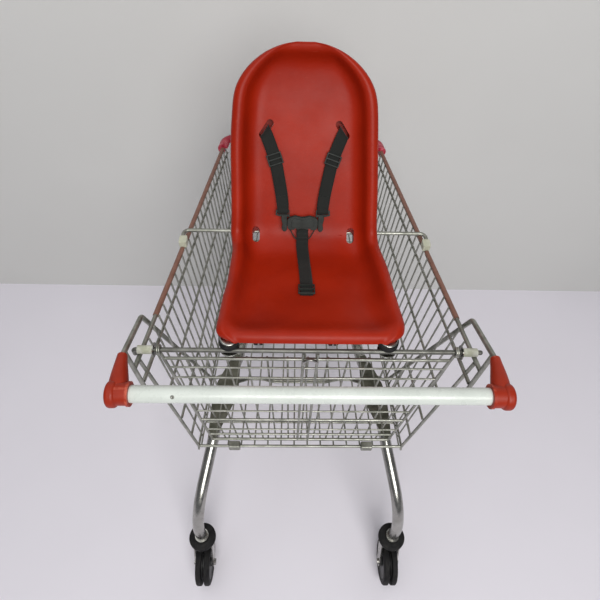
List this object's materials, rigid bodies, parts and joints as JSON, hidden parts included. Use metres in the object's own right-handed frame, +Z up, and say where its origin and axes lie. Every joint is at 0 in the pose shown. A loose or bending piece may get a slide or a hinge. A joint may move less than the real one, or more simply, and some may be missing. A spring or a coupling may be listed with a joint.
{
  "type": "shopping cart",
  "caption": "Wire supermarket trolley with a moulded infant seat and harness above the basket, a hanging rear gate, bent tube legs and swivel casters.",
  "frame": {"origin": "on the floor under the middle of the trolley's overall length and width", "axes": "+X to the right of the person pushing, +Y the way the trolley is pushed, +Z up"},
  "size_m": [0.61, 1.0335, 1.2836],
  "materials": {
    "zinc_wire": "satin galvanised wire",
    "bright_steel": "bright plated tube",
    "brown_plastic": "matt terracotta brown",
    "crimson_plastic": "satin crimson",
    "white_plastic": "glossy white",
    "red_cap_plastic": "satin red",
    "seat_plastic": "semi-gloss red moulding with a fine grain",
    "black_rubber": "black rubber",
    "hub_plastic": "dark grey",
    "nylon": "off-white nylon",
    "webbing": "black woven webbing",
    "buckle_plastic": "dark grey acetal"
  },
  "bodies": {
    "frame": {"rim_wire": "zinc_wire", "rim_sleeves": "brown_plastic", "side_grid_left": "zinc_wire", "side_grid_right": "zinc_wire", "front_grid": "zinc_wire", "floor_grid": "zinc_wire", "gate_buffers": "zinc_wire", "corner_bumper_left": "crimson_plastic", "corner_bumper_right": "crimson_plastic", "handle_tube": "white_plastic", "handle_cap_left": "red_cap_plastic", "handle_cap_right": "red_cap_plastic", "handle_strut_left": "zinc_wire", "handle_strut_right": "zinc_wire", "leg_tube_left": "bright_steel", "leg_tube_right": "bright_steel", "chassis_plates": "zinc_wire", "wave_bar": "zinc_wire", "front_bar": "zinc_wire", "swivel_housings": "bright_steel", "bumper_ring_rear_left": "black_rubber", "bumper_ring_rear_right": "black_rubber", "bumper_ring_front_left": "black_rubber", "bumper_ring_front_right": "black_rubber", "rod_bushes": "nylon"},
    "gate": {"gate_grid": "zinc_wire", "gate_hook": "bright_steel"},
    "seat": {"seat_shell": "seat_plastic", "pivot_rod": "bright_steel", "rod_washers": "bright_steel", "clamp_rubbers": "black_rubber", "clamp_washers": "bright_steel", "clamp_bolts": "bright_steel", "support_bar": "zinc_wire", "saddle_clips": "nylon", "shoulder_strap_left": "webbing", "shoulder_strap_right": "webbing", "crotch_strap": "webbing", "strap_adjusters": "buckle_plastic", "crotch_slide": "buckle_plastic", "buckle_body": "buckle_plastic"},
    "tongue_left": {"buckle_tongue_left": "buckle_plastic"},
    "tongue_right": {"buckle_tongue_right": "buckle_plastic"},
    "swivel_rear_left": {"fork_rear_left": "bright_steel", "axle_rear_left": "bright_steel"},
    "wheel_rear_left": {"hub_rear_left": "hub_plastic", "tread_rear_left": "black_rubber"},
    "swivel_rear_right": {"fork_rear_right": "bright_steel", "axle_rear_right": "bright_steel"},
    "wheel_rear_right": {"hub_rear_right": "hub_plastic", "tread_rear_right": "black_rubber"},
    "swivel_front_left": {"fork_front_left": "bright_steel", "axle_front_left": "bright_steel"},
    "wheel_front_left": {"hub_front_left": "hub_plastic", "tread_front_left": "black_rubber"},
    "swivel_front_right": {"fork_front_right": "bright_steel", "axle_front_right": "bright_steel"},
    "wheel_front_right": {"hub_front_right": "hub_plastic", "tread_front_right": "black_rubber"}
  },
  "joints": [
    {"name": "gate_hinge", "type": "hinge", "parent": "frame", "child": "gate", "pos_m": [0, -0.3012, 0.965], "axis": [1, 0, 0], "range_deg": [0, 35]},
    {"name": "seat_hinge", "type": "hinge", "parent": "frame", "child": "seat", "pos_m": [0, -0.3012, 0.965], "axis": [1, 0, 0], "range_deg": [0, 75]},
    {"name": "tongue_left_slide", "type": "slide", "parent": "seat", "child": "tongue_left", "axis": [-1, 0, 0], "range_m": [0, 0.016]},
    {"name": "tongue_right_slide", "type": "slide", "parent": "seat", "child": "tongue_right", "axis": [1, 0, 0], "range_m": [0, 0.016]},
    {"name": "swivel_rear_left_turn", "type": "hinge", "parent": "frame", "child": "swivel_rear_left", "pos_m": [-0.268, -0.4102, 0.15], "axis": [0, 0, 1], "continuous": true},
    {"name": "wheel_rear_left_spin", "type": "hinge", "parent": "swivel_rear_left", "child": "wheel_rear_left", "pos_m": [-0.268, -0.4532, 0.0625], "axis": [1, 0, 0], "continuous": true},
    {"name": "swivel_rear_right_turn", "type": "hinge", "parent": "frame", "child": "swivel_rear_right", "pos_m": [0.268, -0.4102, 0.15], "axis": [0, 0, 1], "continuous": true},
    {"name": "wheel_rear_right_spin", "type": "hinge", "parent": "swivel_rear_right", "child": "wheel_rear_right", "pos_m": [0.268, -0.4532, 0.0625], "axis": [1, 0, 0], "continuous": true},
    {"name": "swivel_front_left_turn", "type": "hinge", "parent": "frame", "child": "swivel_front_left", "pos_m": [-0.15, 0.4248, 0.15], "axis": [0, 0, 1], "continuous": true},
    {"name": "wheel_front_left_spin", "type": "hinge", "parent": "swivel_front_left", "child": "wheel_front_left", "pos_m": [-0.15, 0.3818, 0.0625], "axis": [1, 0, 0], "continuous": true},
    {"name": "swivel_front_right_turn", "type": "hinge", "parent": "frame", "child": "swivel_front_right", "pos_m": [0.15, 0.4248, 0.15], "axis": [0, 0, 1], "continuous": true},
    {"name": "wheel_front_right_spin", "type": "hinge", "parent": "swivel_front_right", "child": "wheel_front_right", "pos_m": [0.15, 0.3818, 0.0625], "axis": [1, 0, 0], "continuous": true}
  ]
}
